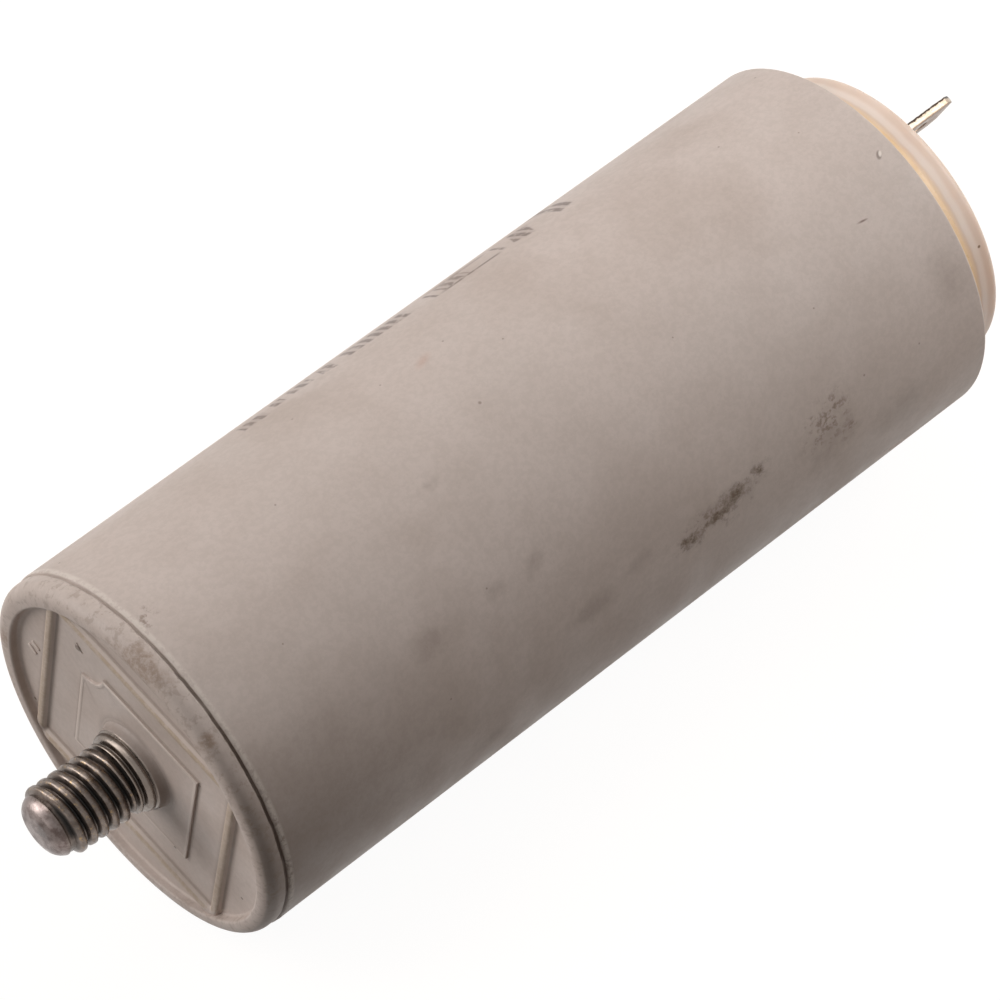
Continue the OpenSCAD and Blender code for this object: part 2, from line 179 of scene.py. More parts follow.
def piece(bm, name, finish, nodes, sharp=40):
    """Lays the shape down and puts it on the object's body in place of its nodes."""
    bmesh.ops.transform(bm, matrix=LAY, verts=bm.verts[:])
    bmesh.ops.recalc_face_normals(bm, faces=bm.faces[:])
    mesh = bpy.data.meshes.new(name)
    bm.to_mesh(mesh)
    bm.free()
    mesh.materials.append(finish)
    mesh.shade_smooth()
    mesh.set_sharp_from_angle(angle=math.radians(sharp))
    made = bpy.data.objects.new(name, mesh)
    scene.collection.objects.link(made)
    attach(made, "root")
    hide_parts(*nodes)


# Nodes that finishes are made of


class Nodes:
    """Shader nodes of one tree, joined as they are made."""

    def __init__(self, tree):
        self.tree = tree

    def feed(self, socket, value):
        if isinstance(value, bpy.types.NodeSocket):
            self.tree.links.new(value, socket)
        else:
            socket.default_value = value

    def node(self, kind, inputs=(), **settings):
        made = self.tree.nodes.new(kind)
        for key, value in settings.items():
            setattr(made, key, value)
        for key, value in dict(inputs).items():
            self.feed(made.inputs[key], value)
        return made

    def step(self, value, low, high, start=0.0, end=1.0):
        """Smooth step of value from low to high, giving start to end."""
        made = self.node("ShaderNodeMapRange", {0: value, 1: low, 2: high, 3: start, 4: end})
        made.interpolation_type = "SMOOTHSTEP"
        return made.outputs[0]

    def calc(self, how, a, b=0.0, c=0.0):
        return self.node("ShaderNodeMath", {0: a, 1: b, 2: c}, operation=how).outputs[0]

    def times(self, a, b):
        return self.calc("MULTIPLY", a, b)

    def most(self, masks):
        total = masks[0]
        for mask in masks[1:]:
            total = self.calc("MAXIMUM", total, mask)
        return total

    def seen(self):
        """1 for a ray from the camera, from a glossy surface or through a clear one."""
        rays = self.node("ShaderNodeLightPath")
        return self.most([rays.outputs[f"Is {kind} Ray"] for kind in ("Camera", "Glossy", "Transmission")])


class Finish(Nodes):
    """One material and its nodes."""

    def __init__(self, name, **sockets):
        self.material = bpy.data.materials.new(name)
        self.material.use_nodes = True
        super().__init__(self.material.node_tree)
        self.shader = self.tree.nodes["Principled BSDF"]
        self.place = self.node("ShaderNodeTexCoord").outputs["Object"]
        for socket, value in sockets.items():
            self.set(socket, value)

    def set(self, socket, value):
        self.feed(self.shader.inputs[socket.replace("_", " ")], value)

    def between(self, value, low, full, still, high):
        """1 while value lies from full to still, and 0 below low and above high."""
        return self.times(self.step(value, low, full), self.step(value, high, still))

    def noise(self, scale, detail=2.0, rough=0.5, bend=0.0):
        made = self.node(
            "ShaderNodeTexNoise",
            {"Vector": self.place, "Scale": scale, "Detail": detail, "Roughness": rough, "Distortion": bend},
        )
        return made.outputs["Fac"]

    def uneven(self, width, scale, detail, rough):
        """Noise about zero, of the given width."""
        return self.times(self.calc("SUBTRACT", self.noise(scale, detail, rough), 0.5), width)

    def measure(self, how, *places):
        """One number from a vector or two: their LENGTH, DISTANCE or DOT_PRODUCT."""
        return self.node("ShaderNodeVectorMath", dict(enumerate(places)), operation=how).outputs["Value"]

    def tint(self, share, a, b):
        """Colour a with a share of colour b."""
        made = self.node("ShaderNodeMix", data_type="RGBA")
        self.feed(made.inputs[0], share)
        self.feed(made.inputs[6], a)
        self.feed(made.inputs[7], b)
        return made.outputs[2]

    def bump(self, height, depth, strength=1.0, under=None):
        """Relief of the given depth in metres."""
        made = self.node("ShaderNodeBump", {"Height": height, "Distance": depth, "Strength": strength})
        if under is not None:
            self.feed(made.inputs["Normal"], under)
        return made.outputs["Normal"]

    def unrolled(self):
        """Place on the case's wall in millimetres: along the axis, and round it from the top towards +Y."""
        parts = self.node("ShaderNodeSeparateXYZ", {0: self.place})
        round_it = self.times(self.calc("ARCTAN2", parts.outputs[1], parts.outputs[2]), CASE_R)
        along = self.times(parts.outputs[0], 1000.0)
        return along, round_it, self.node("ShaderNodeCombineXYZ", {0: along, 1: round_it}).outputs[0]

    def from_mark(self, wall, along, round_it, length, width, turn):
        """Place on the wall from the middle of a mark, as shares of its half length and half width."""
        return self.node(
            "ShaderNodeMapping",
            {"Vector": wall, "Location": (along, round_it, 0), "Rotation": (0, 0, math.radians(turn)),
             "Scale": (length / 2, width / 2, 1)},
            vector_type="TEXTURE",
        ).outputs[0]

    def spot(self, wall, along, round_it, length, width, turn=0.0, soft=0.8, ragged=None):
        """Mask of an oval mark: 1 in its middle, 0 outside."""
        reach = self.measure("LENGTH", self.from_mark(wall, along, round_it, length, width, turn))
        if ragged is not None:
            reach = self.calc("ADD", reach, ragged)
        return self.step(reach, 1.0, 1.0 - soft)

    def block(self, wall, along, round_it, length, width, turn, soft):
        """Mask of an oblong mark."""
        local = self.from_mark(wall, along, round_it, length, width, turn)
        sides = self.node("ShaderNodeVectorMath", {0: local}, operation="ABSOLUTE").outputs[0]
        parts = self.node("ShaderNodeSeparateXYZ", {0: sides})
        return self.step(self.calc("MAXIMUM", parts.outputs[0], parts.outputs[1]), 1.0, 1.0 - soft)


def rgb(red, green, blue):
    """Colour from its screen values, 0 to 255."""
    def level(value):
        share = value / 255
        return share / 12.92 if share <= 0.04045 else ((share + 0.055) / 1.055) ** 2.4
    return (level(red), level(green), level(blue), 1.0)


# Marks on the case's wall, each (along, round, length, width, turn in degrees), in millimetres

INK_FIELDS = (
    (67.6, 17.0, 2.4, 7.0, 8), (62.9, 15.6, 2.6, 4.4, -20), (54.0, 15.9, 3.6, 3.0, 0),
    (44.4, 16.4, 8.8, 3.2, -3), (38.2, 16.6, 1.9, 3.4, -14), (34.9, 16.8, 2.8, 2.6, -6),
    (32.0, 16.7, 1.5, 2.8, -10), (28.6, 16.0, 3.4, 2.6, -5),
)
INK_LINES = (
    (55.6, 14.3, 8.6, 0.55, -2), (55.6, 17.6, 8.6, 0.6, -2),
    (51.2, 15.9, 0.5, 3.6, 0), (60.0, 15.9, 0.5, 3.6, 0),
)
BROWN_STAINS = (
    (60.4, -25.1, 6.0, 2.6, 4), (54.4, -26.6, 3.4, 2.2, -20),
    (58.2, -25.9, 5.0, 1.6, 10), (63.8, -24.2, 2.6, 2.2, 0),
)
SOFT_SMUDGES = (
    (73.6, -26.6, 11.0, 10.0, 20), (58.6, -25.6, 15.0, 5.0, 2), (32.9, -17.3, 3.2, 2.6, 0),
    (37.5, -17.4, 4.2, 2.6, 30), (33.3, -5.7, 3.0, 2.0, 0), (24.4, -17.4, 7.0, 5.0, 20),
    (41.5, -26.0, 9.0, 4.0, 0), (48.1, -24.4, 6.0, 3.0, 10), (28.3, -33.1, 9.0, 4.0, 0),
    (82.5, -30.0, 9.0, 9.0, 0), (92.0, -19.5, 7.0, 9.0, 0),
)
SPECKLED = (
    (73.2, -25.0, 9.0, 8.0, 20), (71.6, -23.4, 4.5, 2.4, 12), (75.5, -27.4, 4.0, 2.6, 30),
    (57.5, -26.0, 14.0, 5.0, 0), (84.0, -38.2, 14.0, 3.0, -24), (82.0, -37.0, 6.0, 1.3, -24),
    (4.0, 0.4, 5.0, 2.6, 30),
)
# painted shade: a broad darker patch low on the wall at the stud end
LOW_WALL_SHADE = (-2.0, -30.0, 70.0, 42.0, 0)
NICK = (92.6, -5.5, 0.7, 1.3, -40)
NICK_FLOOR = (92.8, -5.45, 0.45, 0.95, -40)
SCRATCH = (86.5, -9.8, 1.8, 0.34, -8)
BEAD_SMEARS = ((0.6, -3.2, 3.4, 9.0, 0, 0.8), (0.8, -12.8, 2.0, 2.6, 0, 0.9), (0.4, 30.0, 3.0, 5.0, 0, 0.8))
# Specks on the wall (along, round, size) and in the recess (y, z, size)
SPECKS = (
    (78.7, -22.8, 0.5), (86.0, -23.8, 0.45), (4.1, 14.9, 0.5), (20.9, 2.0, 0.45), (32.0, -16.7, 0.4),
    (92.7, 12.6, 0.5), (81.9, 6.1, 0.45), (49.7, 2.2, 0.4), (45.8, 6.5, 0.45), (42.9, -2.0, 0.7),
    (37.9, 6.6, 0.4), (29.9, 10.5, 0.4), (76.7, -13.8, 0.4), (12.0, -9.5, 0.35), (62.5, -8.0, 0.35),
    (24.0, -24.0, 0.4), (88.4, 1.5, 0.35),
)
RECESS_SPECKS = (
    (-5.2, -9.05, 0.5), (-5.2, -17.0, 0.45), (-14.66, -7.32, 0.45),
    (15.7, -6.76, 0.5), (7.5, 10.4, 1.1), (-9.6, 6.1, 0.35),
)


class CaseFinish(Finish):
    """Warm grey moulded plastic: mottled, rubbed with brown soiling, with worn fields of ink near the top,
    and with painted shade and painted highlights on the wall and in the recess.
    """

    def __init__(self):
        super().__init__("case_grey_plastic", Specular_IOR_Level=0.3)
        self.along, self.round_it, self.wall = self.unrolled()
        parts = self.node("ShaderNodeSeparateXYZ", {0: self.place})
        inward = self.node("ShaderNodeCombineXYZ", {0: parts.outputs[1], 1: parts.outputs[2]}).outputs[0]
        self.reach = self.times(self.measure("LENGTH", inward), 1000.0)
        in_mm = {0: inward, 1: (1000, 1000, 1000)}
        self.face = self.node("ShaderNodeVectorMath", in_mm, operation="MULTIPLY").outputs[0]
        self.outside = self.step(self.reach, 19.2, 19.5)
        self.cloud = self.noise(28.0, 3.0, 0.55)
        self.mottle = self.noise(190.0, 4.0, 0.6)
        self.grain = self.noise(2600.0, 2.0, 0.6)
        self.fine = self.noise(1400.0, 3.0, 0.75)
        self.ragged = self.uneven(1.6, 420.0, 5.0, 0.65)
        colour = self.plastic()
        for add in (self.ink, self.dirt_and_shade, self.nick_and_scratch, self.bead, self.recess):
            colour = add(colour)
        self.set("Base_Color", colour)
        self.set("Roughness", self.step(self.mottle, 0.3, 0.7, 0.46, 0.58))
        waves = self.bump(self.noise(90.0, 2.0, 0.5), 0.00010)
        self.set("Normal", self.bump(self.grain, 0.000014, 0.7, waves))

    def marks(self, places, soft, ragged=None):
        return self.most([self.spot(self.wall, *place, soft, ragged) for place in places])

    def plastic(self):
        colour = self.tint(self.step(self.cloud, 0.3, 0.7), rgb(189, 174, 165), rgb(196, 180, 171))
        colour = self.tint(self.step(self.mottle, 0.35, 0.75, 0.0, 0.30), colour, rgb(179, 163, 153))
        return self.tint(self.step(self.fine, 0.38, 0.62, 0.0, 0.16), colour, rgb(150, 136, 125))

    def ink(self, colour):
        """Worn ink in fields of short strokes, and four lines round one of them."""
        fields = self.most([self.block(self.wall, *field, 0.2) for field in INK_FIELDS])
        stroke_pitch = 1.15
        strokes = self.calc("FRACT", self.calc("DIVIDE", self.along, stroke_pitch))
        strokes = self.calc("ABSOLUTE", self.calc("SUBTRACT", strokes, 0.5))
        strokes = self.step(strokes, 0.34, 0.24)
        bars = self.times(fields, self.calc("MAXIMUM", strokes, 0.25))
        lines = self.most([self.block(self.wall, *line, 0.35) for line in INK_LINES])
        bars = self.calc("MAXIMUM", bars, lines)
        worn = self.step(self.noise(1300.0, 3.0, 0.7), 0.34, 0.52, 0.2, 1.0)
        ink = self.times(self.times(bars, worn), self.times(self.outside, 0.74))
        return self.tint(ink, colour, rgb(92, 76, 70))

    def dirt_and_shade(self, colour):
        """Brown film, speckles, smudges, stains and specks on the wall, and painted shade low on it towards
        the stud end.
        """
        film = self.times(self.step(self.noise(60.0, 4.0, 0.6, bend=0.6), 0.46, 0.72), 0.22)
        colour = self.tint(film, colour, rgb(150, 131, 117))
        self.speckle = self.step(self.noise(1100.0, 3.0, 0.7), 0.50, 0.64)
        rubbed = self.times(self.speckle, self.marks(SPECKLED, 0.9, self.ragged))
        colour = self.tint(self.times(rubbed, 0.62), colour, rgb(104, 80, 62))
        # painted shade over the low side of the wall at the stud end
        low_shade = self.marks([LOW_WALL_SHADE], 1.0)
        colour = self.tint(self.times(low_shade, self.times(self.outside, 0.6)), colour, rgb(90, 76, 66))
        clouds = self.marks(SOFT_SMUDGES, 1.0, self.ragged)
        colour = self.tint(self.times(self.times(clouds, self.outside), 0.24), colour, rgb(108, 88, 74))
        stains = self.marks(BROWN_STAINS, 1.0, self.uneven(3.0, 900.0, 5.0, 0.75))
        stains = self.times(self.times(stains, self.outside), self.step(self.fine, 0.3, 0.6, 0.35, 0.9))
        colour = self.tint(stains, colour, rgb(84, 62, 38))
        flush = self.most([
            self.spot(self.wall, 42.7, 5.9, 3.6, 1.6, 25, 1.0),
            self.spot(self.wall, 84.6, -38.6, 11.0, 2.2, -24, 0.9, self.ragged),
        ])
        colour = self.tint(self.times(flush, 0.30), colour, rgb(168, 116, 92))
        specks = self.marks([(x, y, size * 0.75, size * 0.75, 0) for x, y, size in SPECKS], 0.8)
        return self.tint(self.times(specks, 0.55), colour, rgb(96, 78, 64))

    def nick_and_scratch(self, colour):
        nick = self.times(self.marks([NICK], 0.5), self.outside)
        colour = self.tint(self.times(nick, 0.7), colour, rgb(104, 88, 78))
        colour = self.tint(self.marks([NICK_FLOOR], 0.6), colour, rgb(214, 202, 192))
        return self.tint(self.marks([SCRATCH], 0.9), colour, rgb(118, 98, 88))

    def bead(self, colour):
        """Grime in the parting groove, a rubbed lip beside it, and smears and dust on the bead."""
        groove = self.between(self.along, 2.05, 2.2, 2.45, 2.56)
        groove = self.times(groove, self.step(self.reach, 19.94, 19.84))
        groove = self.times(groove, self.step(self.reach, 19.4, 19.5))
        groove = self.times(groove, self.step(self.round_it, 2.0, -14.0, 0.25, 0.9))
        groove = self.times(groove, self.step(self.mottle, 0.3, 0.6, 0.3, 0.95))
        colour = self.tint(groove, colour, rgb(92, 74, 62))
        lip = self.between(self.along, 2.45, 2.55, 2.85, 3.25)
        lip = self.times(self.times(lip, self.step(self.fine, 0.36, 0.55)), self.outside)
        colour = self.tint(self.times(lip, 0.55), colour, rgb(216, 204, 193))
        bead = self.times(self.step(self.along, 2.3, 2.0), self.step(self.reach, 17.7, 17.95))
        smears = self.most([self.spot(self.wall, *smear, self.ragged) for smear in BEAD_SMEARS])
        smears = self.times(self.times(smears, bead), self.step(self.fine, 0.34, 0.62, 0.4, 1.0))
        colour = self.tint(self.times(smears, 0.60), colour, rgb(122, 94, 70))
        return self.tint(self.times(self.times(bead, self.speckle), 0.30), colour, rgb(120, 100, 84))

    def recess(self, colour):
        """Painted shade at the feet of the ribs and round the plate, painted highlights on raised tops and
        on the plate's lip, rubbed tops, painted shade round the stud, and specks on its floor.
        """
        inner = self.times(self.step(self.reach, 17.4, 17.2), self.step(self.along, 1.5, 1.2))
        turn = {"Vector": self.face, "Angle": -RIB_TURN}
        square = self.node("ShaderNodeVectorRotate", turn, rotation_type="Z_AXIS").outputs[0]
        sides = self.node("ShaderNodeVectorMath", {0: square}, operation="ABSOLUTE").outputs[0]
        sides = self.node("ShaderNodeSeparateXYZ", {0: sides})
        across = self.calc("MAXIMUM", sides.outputs[0], sides.outputs[1])
        notch = self.measure("DISTANCE", square, (PLATE_HALF, PLATE_HALF, 0))
        notch = self.step(notch, NOTCH_R + 0.1, NOTCH_R + 0.4)
        from_rib = self.calc("ABSOLUTE", self.calc("SUBTRACT", across, RIB_REACH))
        # painted shade on the floor beside the feet of the ribs and in a band round the plate's edge
        rib_foot_shade = self.between(from_rib, 0.46, 0.62, 0.75, 1.35)
        by_plate = self.times(self.between(across, 8.10, 8.22, 8.3, 8.75), notch)
        rib_foot_shade = self.calc("MAXIMUM", rib_foot_shade, by_plate)
        rib_foot_shade = self.times(rib_foot_shade, self.times(inner, self.step(self.along, 0.74, 0.80)))
        colour = self.tint(self.times(rib_foot_shade, 0.42), colour, rgb(112, 92, 80))
        # painted highlights: lighter tops on the raised strokes and ribs, and a lighter lip round the
        # plate's edge
        lit_tops = self.times(inner, self.step(self.along, 0.86, 0.80))
        lit_tops = self.times(lit_tops, self.step(across, 8.5, 8.7))
        lit_lip = self.times(self.times(self.between(across, 7.75, 7.95, 8.15, 8.25), inner), notch)
        colour = self.tint(self.times(self.calc("MAXIMUM", lit_tops, lit_lip), 0.5), colour, rgb(214, 199, 188))
        tops = self.times(inner, self.step(self.along, 0.58, 0.46))
        tops = self.times(tops, self.step(self.fine, 0.3, 0.6, 0.45, 0.85))
        tops = self.times(tops, self.step(across, 8.5, 8.7))
        colour = self.tint(tops, colour, rgb(168, 147, 126))
        from_stud = self.measure("DISTANCE", self.face, STUD_SHIFT)
        shade = self.times(self.step(from_stud, 6.0, 4.7), self.times(inner, 0.42))
        colour = self.tint(shade, colour, rgb(88, 76, 70))
        specks = self.most([self.spot(self.face, y, z, size, size, 0, 0.5) for y, z, size in RECESS_SPECKS])
        return self.tint(self.times(self.times(specks, inner), 0.7), colour, rgb(84, 68, 56))


def steel_finish():
    """Plated steel, dulled by handling: brassy streaks on the crests, black soiling in the roots, and
    painted shade on the side that faces up and towards -Y.
    """
    f = Finish("stud_plated_steel")
    parts = f.node("ShaderNodeSeparateXYZ", {0: f.place})
    along = parts.outputs[0]
    out = f.calc("SUBTRACT", LEAN_FOOT / 1000, along)
    # place from the stud's own axis, whose foot stands off the case's axis by this many metres
    foot_y, foot_z = -0.000342, -0.000187
    across = f.calc("SUBTRACT", parts.outputs[1], f.calc("MULTIPLY_ADD", out, LEAN * LEAN_Y, foot_y))
    upward = f.calc("SUBTRACT", parts.outputs[2], f.calc("MULTIPLY_ADD", out, LEAN * LEAN_Z, foot_z))
    reach = f.calc("SQRT", f.calc("ADD", f.times(across, across), f.times(upward, upward)))
    cloud = f.noise(900.0, 4.0, 0.62)
    colour = f.tint(f.step(cloud, 0.35, 0.7), rgb(128, 117, 110), rgb(95, 84, 77))
    blotch = f.step(f.noise(620.0, 4.0, 0.7), 0.42, 0.62)
    tip = f.step(along, -0.0097, -0.0103)
    colour = f.tint(tip, colour, f.tint(blotch, rgb(134, 122, 118), rgb(98, 84, 80)))
    # brassy streaks where the crests are rubbed
    crest = f.between(reach, 0.00362, 0.00374, 0.00384, 0.00396)
    streak = f.step(f.noise(2300.0, 4.0, 0.75, bend=0.4), 0.53, 0.66)
    colour = f.tint(f.times(f.times(crest, streak), 0.4), colour, rgb(196, 160, 100))
    # painted shade, darkest on the side that faces up and towards -Y; black soiling in the roots follows,
    # deepest on that side
    shaded_side = f.calc("MULTIPLY_ADD", across, -0.643, f.times(upward, 0.766))
    shaded_side = f.step(f.calc("DIVIDE", shaded_side, reach), 0.76, 0.96)
    colour = f.tint(f.times(shaded_side, 0.42), colour, rgb(52, 46, 43))
    colour = f.tint(f.step(along, -0.0023, -0.0019, 0.0, 0.6), colour, rgb(124, 114, 106))
    # the soiling in the thread's roots is real, and its greater depth on the shaded side is painted shade
    shaded_side = f.calc("MULTIPLY_ADD", shaded_side, 0.72, 0.28)
    uneven = f.times(f.calc("SUBTRACT", cloud, 0.5), 0.0004)
    root = f.step(f.calc("ADD", reach, uneven), 0.00378, 0.00346)
    root = f.times(f.times(root, shaded_side), f.step(along, -0.0098, -0.0094))
    root = f.times(root, f.step(along, -0.0018, -0.0022, 0.6, 1.0))
    colour = f.tint(f.times(root, 0.96), colour, rgb(20, 16, 13))
    f.set("Base_Color", colour)
    f.set("Metallic", f.step(root, 0.0, 1.0, 1.0, 0.5))
    rough = f.step(f.noise(1500.0, 3.0, 0.6), 0.3, 0.7, 0.24, 0.40)
    f.set("Roughness", f.calc("ADD", rough, f.times(root, 0.3)))
    f.set("Normal", f.bump(f.noise(2500.0, 3.0, 0.6), 0.000018, 0.8))
    return f.material


def lid_finish():
    """Cream plastic that light gets into, stained by the resin at its root, with a painted highlight along
    its shoulder.
    """
    f = Finish(
        "lid_cream_plastic", Subsurface_Weight=0.3, Subsurface_Radius=(1.0, 0.75, 0.55),
        Subsurface_Scale=0.006, Specular_IOR_Level=0.6,
    )
    along, _, wall = f.unrolled()
    wavy = f.calc("ADD", along, f.uneven(0.7, 160.0, 3.0, 0.6))
    colour = f.tint(f.step(f.noise(90.0, 4.0, 0.6), 0.32, 0.7), rgb(212, 189, 173), rgb(205, 178, 161))
    # painted highlight: a paler band along the lid's shoulder
    pale = f.between(wavy, 97.4, 97.8, 98.1, 98.7)
    colour = f.tint(f.times(pale, 0.55), colour, rgb(230, 216, 206))
    colour = f.tint(f.step(wavy, 97.7, 97.1, 0.0, 0.75), colour, rgb(228, 196, 156))
    colour = f.tint(f.spot(wall, 98.6, -21.0, 0.5, 0.5, 0, 0.6), colour, rgb(128, 96, 66))
    f.set("Base_Color", colour)
    f.set("Roughness", f.step(f.noise(360.0, 3.0, 0.6), 0.3, 0.7, 0.32, 0.46))
    f.set("Normal", f.bump(f.noise(500.0, 3.0, 0.6), 0.00003, 0.7))
    return f.material


def tab_finish():
    """Tinned brass: bright sheared edge, a dark ragged burr along one side, and painted shade on the inner
    flat, darker and browner.
    """
    f = Finish("tab_tinned_brass", Metallic=1.0)
    # distance in millimetres from the first tab's rivet, along the way that the tabs face
    tab_way, rivet_back = (0, 0.9135, 0.4067), 0.187
    across = f.measure("DOT_PRODUCT", f.place, tab_way)
    across = f.calc("MULTIPLY_ADD", across, 1000.0, rivet_back)
    ragged = f.uneven(0.45, 1800.0, 3.0, 0.7)
    colour = f.tint(f.step(f.noise(500.0, 4.0, 0.6), 0.35, 0.7), rgb(190, 180, 168), rgb(176, 156, 132))
    # painted shade: darker and browner on the inner flat and everything nearer the rivet
    colour = f.tint(f.step(across, 3.98, 3.86), colour, rgb(132, 112, 96))
    colour = f.tint(f.step(f.calc("ADD", across, ragged), 4.34, 4.46), colour, rgb(62, 50, 42))
    f.set("Base_Color", colour)
    f.set("Roughness", f.step(f.noise(1500.0, 3.0, 0.6), 0.3, 0.7, 0.28, 0.44))
    f.set("Normal", f.bump(f.noise(1600.0, 3.0, 0.6), 0.00002, 0.8))
    return f.material


def moulded_finish(name, light, dark, scale, rough):
    """Plastic or resin with a soft cloud of two tones and a fine skin."""
    f = Finish(name)
    f.set("Base_Color", f.tint(f.step(f.noise(scale, 4.0, 0.6), 0.32, 0.7), light, dark))
    f.set("Roughness", f.step(f.noise(scale * 4, 3.0, 0.6), 0.3, 0.7, rough - 0.06, rough + 0.08))
    f.set("Normal", f.bump(f.noise(2200.0, 2.0, 0.6), 0.00001, 0.7))
    return f.material


def metal_finish(name, light, dark, rough, scale=500.0, relief=0.00001):
    """Bare metal in a cloud of two tones."""
    f = Finish(name, Metallic=1.0)
    f.set("Base_Color", f.tint(f.step(f.noise(scale, 4.0, 0.6), 0.35, 0.7), light, dark))
    f.set("Roughness", f.step(f.noise(scale * 3, 3.0, 0.6), 0.3, 0.7, rough - 0.08, rough + 0.12))
    f.set("Normal", f.bump(f.noise(scale * 4, 3.0, 0.6), relief, 0.8))
    return f.material


# Case


def case_cup():
    """Cup with its bead, recess, parting groove, mouth, ledge and the boss for the stud's head."""
    pocket_r = HEAD_R + HEAD_GAP
    boss_r = pocket_r + BOSS_WALL
    bm = section([
        (COLLAR_HOLE_R, RECESS_FLOOR),
        (17.70, RECESS_FLOOR, 0.28, 4),
        (17.78, 0.0, 0.25, 4),
        (19.875, 0.0, 1.4, 10),
        (19.875, 2.12, 0.08, 2),
        (19.72, 2.22),
        (19.72, 2.40),
        (19.97, 2.50, 0.06, 2),
        (20.02, 2.78),
        (CASE_R, 3.10),
        (CASE_R, 48.0),
        (CASE_R, CASE_LEN, 0.35, 4),
        (MOUTH_R, CASE_LEN, 0.2, 2),
        (MOUTH_R, 92.1),
        (INNER_R, 92.1),
        (INNER_R, INSIDE_FLOOR),
        (boss_r, INSIDE_FLOOR, 0.5, 3),
        (boss_r, INSIDE_FLOOR + HEAD_H),
        (pocket_r, INSIDE_FLOOR + HEAD_H),
        (pocket_r, INSIDE_FLOOR),
        (COLLAR_HOLE_R, INSIDE_FLOOR),
    ], closed=True)
    spun(bm, 216)
    # the recess sat a little off the axis in its mould
    shift = Vector((-RECESS_SHIFT * math.cos(RIB_TURN), -RECESS_SHIFT * math.sin(RIB_TURN), 0))
    recess = [v for v in bm.verts if v.co.z < 1.0 and 17.2 < v.co.xy.length < 18.05]
    bmesh.ops.translate(bm, vec=shift, verts=recess)
    # uneven flash along the parting groove
    for v in bm.verts:
        if 2.1 < v.co.z < 3.0 and v.co.xy.length > 19:
            way = math.atan2(v.co.y, v.co.x)
            at = Vector((math.cos(way), math.sin(way), 0)) * 9
            v.co.z += 0.10 * noise.noise(at * 1.3) + 0.05 * noise.noise(at * 5)
            lift = 0.05 * noise.noise(at * 4 + Vector((0, 0, 7)))
            v.co.xy *= 1 + lift / CASE_R
    return bm


def rib_ring():
    """Square ring of round-crowned ribs on the floor of the recess, with its corners rounded."""
    low, crown, corner = RECESS_FLOOR, RECESS_FLOOR - RIB_H, 0.95
    straight = RIB_REACH - corner
    bm = section([
        (RIB_REACH - 0.92, low + 0.06),
        (RIB_REACH - 0.64, low - 0.02, 0.2, 3),
        (RIB_REACH - 0.40, crown, 0.26, 4),
        (RIB_REACH + 0.40, crown, 0.26, 4),
        (RIB_REACH + 0.64, low - 0.02, 0.2, 3),
        (RIB_REACH + 0.92, low + 0.06),
    ], closed=True)
    moved(bm, 0, -straight, 0)
    end = bm.verts[:] + bm.edges[:]
    for side in range(4):
        quarter = Matrix.Rotation(math.radians(90 * side), 3, "Z")
        end = swept(bm, end, (0, 0, 0), (0, 0, 1), 0, 1, shift=quarter @ Vector((0, 2 * straight, 0)))
        end = swept(bm, end, quarter @ Vector((straight, straight, 0)), (0, 0, 1), 90, 6)
    bmesh.ops.remove_doubles(bm, verts=bm.verts[:], dist=0.001)
    return bm


def raised_plate():
    """Lipped plate round the stud: a square with one corner cut away by an arc and a round hole."""
    half, low, top = PLATE_HALF, 1.05, 0.66
    bm = bmesh.new()
    start = bm.verts.new((half, half - NOTCH_R, low))
    swept(bm, [start], (half, half, low), (0, 0, 1), -90, 12)
    ends = [v for v in bm.verts if len(v.link_edges) == 1]
    ends.sort(key=lambda v: v.co.x)
    rest = [bm.verts.new((x, y, low)) for x, y in ((-half, half), (-half, -half), (half, -half))]
    for pair in ((ends[0], rest[0]), (rest[0], rest[1]), (rest[1], rest[2]), (rest[2], ends[1])):
        bm.edges.new(pair)
    centre = Matrix.Rotation(-RIB_TURN, 3, "Z") @ STUD_SHIFT + Vector((0, 0, low))
    bmesh.ops.create_circle(
        bm, cap_ends=False, segments=64, radius=COLLAR_HOLE_R + 0.06, matrix=Matrix.Translation(centre),
    )
    filled(bm, (0, 0, -1))
    thickened(bm, 0, 0, top - low)
    bmesh.ops.recalc_face_normals(bm, faces=bm.faces[:])
    rim = [
        e for e in bm.edges
        if all(abs(v.co.z - top) < 0.001 for v in e.verts) and len(e.link_faces) == 2
        and e.link_faces[0].normal.dot(e.link_faces[1].normal) < 0.5
    ]
    edge_bevel(bm, rim, 0.14, 3)
    level = [
        face for face in bm.faces
        if face.normal.z < -0.99 and all(abs(v.co.z - top) < 0.001 for v in face.verts)
    ]
    # the lip, the step down behind it, and a narrow border that keeps the flat middle flat
    for width, depth in ((0.22, 0.0), (0.12, -0.07), (0.04, 0.0)):
        bmesh.ops.inset_region(
            bm, faces=level, thickness=width, depth=depth, use_even_offset=True, use_boundary=True,
        )
    # the moulding climbs a little way up the stud's collar
    swell = section([
        (4.42, 0.95), (4.42, -0.24), (4.54, -0.30, 0.05, 2), (4.60, 0.10, 0.2, 3), (4.72, 0.52, 0.2, 4),
        (4.95, 0.74, 0.15, 3), (5.1, 0.82), (5.1, 0.95),
    ], closed=True)
    spun(swell, 96)
    return join(bm, moved(swell, centre.x, centre.y, 0))


